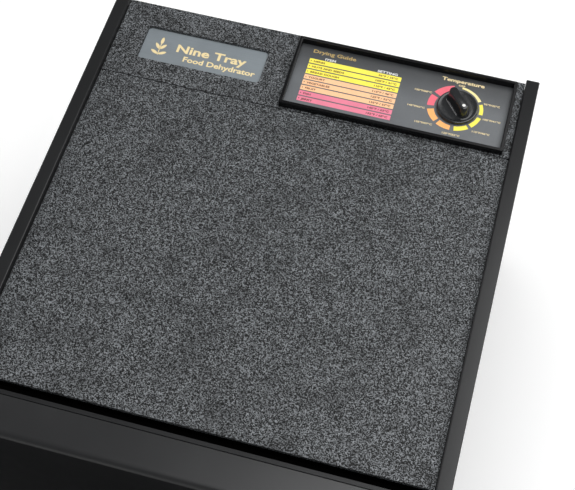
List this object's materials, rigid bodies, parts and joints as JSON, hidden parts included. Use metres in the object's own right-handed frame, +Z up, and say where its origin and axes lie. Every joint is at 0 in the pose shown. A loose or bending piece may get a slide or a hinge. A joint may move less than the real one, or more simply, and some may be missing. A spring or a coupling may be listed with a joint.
{
  "type": "food dehydrator",
  "caption": "Box-shaped countertop food dehydrator with slide-in mesh trays, lift-off front door, rear fan and heater, grained top and a top-mounted dial.",
  "frame": {"origin": "centre of the footprint, on the table plane under the feet", "axes": "+X to the right seen from the door side, +Y from the door to the rear, +Z up"},
  "size_m": [0.432, 0.4826, 0.3293],
  "materials": {
    "grained_top": "pebble-grained satin",
    "case_plastic": "satin black moulding",
    "door_plastic": "satin black moulding",
    "gloss_black": "gloss black",
    "panel_film": "satin printed panel",
    "badge_film": "satin blue-grey",
    "tray_plastic": "fine matt",
    "screen_mesh": "flexible welded net",
    "sheet_steel": "galvanised",
    "cover_plastic": "satin black",
    "fan_alloy": "stamped",
    "screw_steel": "zinc plated",
    "motor_iron": "varnished laminations",
    "copper_winding": "enamelled wire",
    "bronze": "sintered",
    "heater_sheath": "heat-darkened",
    "ceramic": "glazed white",
    "rubber_black": "matt",
    "wire_sleeve": "silicone"
  },
  "bodies": {
    "case": {"side_panel_left": "case_plastic", "side_panel_right": "case_plastic", "top_panel": "grained_top", "bottom_panel": "case_plastic", "rear_hood": "grained_top", "front_frame": "case_plastic", "badge_plate": "badge_film", "control_bezel": "gloss_black", "control_panel": "panel_film", "thermostat_body": "ceramic", "thermostat_nut": "screw_steel", "air_baffle": "sheet_steel", "back_cover": "cover_plastic", "fan_shroud": "sheet_steel", "motor_stator": "motor_iron", "motor_coil": "copper_winding", "motor_end_plate_front": "sheet_steel", "motor_end_plate_rear": "sheet_steel", "bearing_front": "bronze", "bearing_rear": "bronze", "motor_bolts": "screw_steel", "heater_element": "heater_sheath", "element_clips": "ceramic", "thermal_cutout": "ceramic", "terminal_block": "ceramic", "cord_gland": "rubber_black", "gland_nut": "case_plastic", "wiring_loom": "wire_sleeve", "rubber_feet": "rubber_black", "foot_screws": "screw_steel", "back_cover_screws": "screw_steel", "shroud_screws": "screw_steel"},
    "door": {"door_panel": "door_plastic"},
    "tray_unit_1": {"tray_1": "tray_plastic", "mesh_screen_1": "screen_mesh"},
    "tray_unit_2": {"tray_2": "tray_plastic", "mesh_screen_2": "screen_mesh"},
    "tray_unit_3": {"tray_3": "tray_plastic", "mesh_screen_3": "screen_mesh"},
    "tray_unit_4": {"tray_4": "tray_plastic", "mesh_screen_4": "screen_mesh"},
    "tray_unit_5": {"tray_5": "tray_plastic", "mesh_screen_5": "screen_mesh"},
    "tray_unit_6": {"tray_6": "tray_plastic", "mesh_screen_6": "screen_mesh"},
    "tray_unit_7": {"tray_7": "tray_plastic", "mesh_screen_7": "screen_mesh"},
    "tray_unit_8": {"tray_8": "tray_plastic", "mesh_screen_8": "screen_mesh"},
    "tray_unit_9": {"tray_9": "tray_plastic", "mesh_screen_9": "screen_mesh"},
    "knob": {"temperature_knob": "gloss_black", "thermostat_shaft": "screw_steel"},
    "fan": {"fan_blade": "fan_alloy", "fan_retainer": "screw_steel", "motor_shaft": "screw_steel", "motor_rotor": "motor_iron"}
  },
  "joints": [
    {"name": "door_pull", "type": "slide", "parent": "case", "child": "door", "axis": [0, -1, 0], "range_m": [0, 0.45]},
    {"name": "tray_slide_1", "type": "slide", "parent": "case", "child": "tray_unit_1", "axis": [0, -1, 0], "range_m": [0, 0.34]},
    {"name": "tray_slide_2", "type": "slide", "parent": "case", "child": "tray_unit_2", "axis": [0, -1, 0], "range_m": [0, 0.34]},
    {"name": "tray_slide_3", "type": "slide", "parent": "case", "child": "tray_unit_3", "axis": [0, -1, 0], "range_m": [0, 0.34]},
    {"name": "tray_slide_4", "type": "slide", "parent": "case", "child": "tray_unit_4", "axis": [0, -1, 0], "range_m": [0, 0.34]},
    {"name": "tray_slide_5", "type": "slide", "parent": "case", "child": "tray_unit_5", "axis": [0, -1, 0], "range_m": [0, 0.34]},
    {"name": "tray_slide_6", "type": "slide", "parent": "case", "child": "tray_unit_6", "axis": [0, -1, 0], "range_m": [0, 0.34]},
    {"name": "tray_slide_7", "type": "slide", "parent": "case", "child": "tray_unit_7", "axis": [0, -1, 0], "range_m": [0, 0.34]},
    {"name": "tray_slide_8", "type": "slide", "parent": "case", "child": "tray_unit_8", "axis": [0, -1, 0], "range_m": [0, 0.34]},
    {"name": "tray_slide_9", "type": "slide", "parent": "case", "child": "tray_unit_9", "axis": [0, -1, 0], "range_m": [0, 0.34]},
    {"name": "temperature_turn", "type": "hinge", "parent": "case", "child": "knob", "pos_m": [0.1441, 0.193, 0.312], "axis": [0, 0, 1], "range_deg": [-157, 143]},
    {"name": "fan_spin", "type": "hinge", "parent": "case", "child": "fan", "pos_m": [0, 0.2103, 0.149], "axis": [0, 1, 0], "continuous": true}
  ],
  "couplings": [
    {"joint": "tray_slide_1", "follows": "door_pull", "ratio": 0.74},
    {"joint": "tray_slide_2", "follows": "door_pull", "ratio": 0.69},
    {"joint": "tray_slide_3", "follows": "door_pull", "ratio": 0.64},
    {"joint": "tray_slide_4", "follows": "door_pull", "ratio": 0.59},
    {"joint": "tray_slide_5", "follows": "door_pull", "ratio": 0.54},
    {"joint": "tray_slide_6", "follows": "door_pull", "ratio": 0.49},
    {"joint": "tray_slide_7", "follows": "door_pull", "ratio": 0.44},
    {"joint": "tray_slide_8", "follows": "door_pull", "ratio": 0.39},
    {"joint": "tray_slide_9", "follows": "door_pull", "ratio": 0.34}
  ]
}
